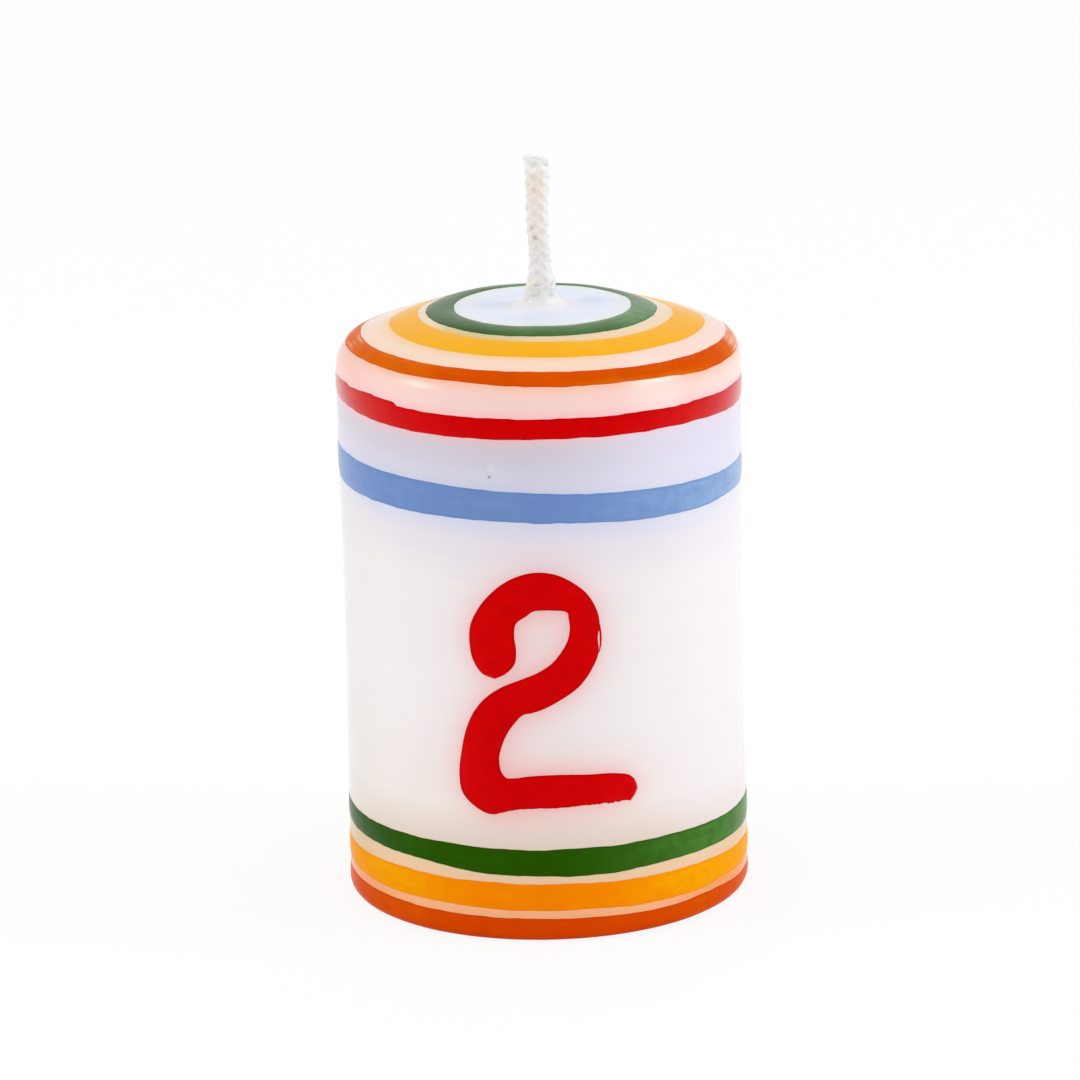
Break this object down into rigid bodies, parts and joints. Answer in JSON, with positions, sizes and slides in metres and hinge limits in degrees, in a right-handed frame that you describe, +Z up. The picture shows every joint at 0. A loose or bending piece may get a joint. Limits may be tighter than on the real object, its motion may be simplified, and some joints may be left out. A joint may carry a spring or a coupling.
{
  "type": "painted pillar candle",
  "caption": "Small free-standing pillar candle: a domed white wax cylinder on a braided wick, ringed by coloured stripes of wax paint, with a crimped wick sustainer under its base.",
  "frame": {"origin": "middle of the flat base, on the surface that the candle stands on", "axes": "+Z up along the wick; the front of the wall, which faces the picture's camera, is towards -Y"},
  "size_m": [0.0402, 0.0402, 0.0742],
  "materials": {
    "white_wax": "smooth cast wax, satin",
    "waxed_cotton": "braided cotton soaked in wax",
    "tinplate": "bright tinned sheet",
    "green_paint": "brushed coat of dyed wax, satin",
    "amber_paint": "brushed coat of dyed wax, satin",
    "orange_paint": "brushed coat of dyed wax, satin",
    "red_paint": "brushed coat of dyed wax, satin",
    "blue_paint": "brushed coat of dyed wax, satin"
  },
  "bodies": {
    "root": {"wax_body": "white_wax", "wick": "waxed_cotton", "wick_sustainer": "tinplate", "green_crown_stripe": "green_paint", "amber_crown_stripe": "amber_paint", "orange_crown_stripe": "orange_paint", "red_stripe": "red_paint", "blue_stripe": "blue_paint", "green_foot_stripe": "green_paint", "amber_foot_stripe": "amber_paint", "orange_foot_stripe": "orange_paint"}
  },
  "joints": []
}
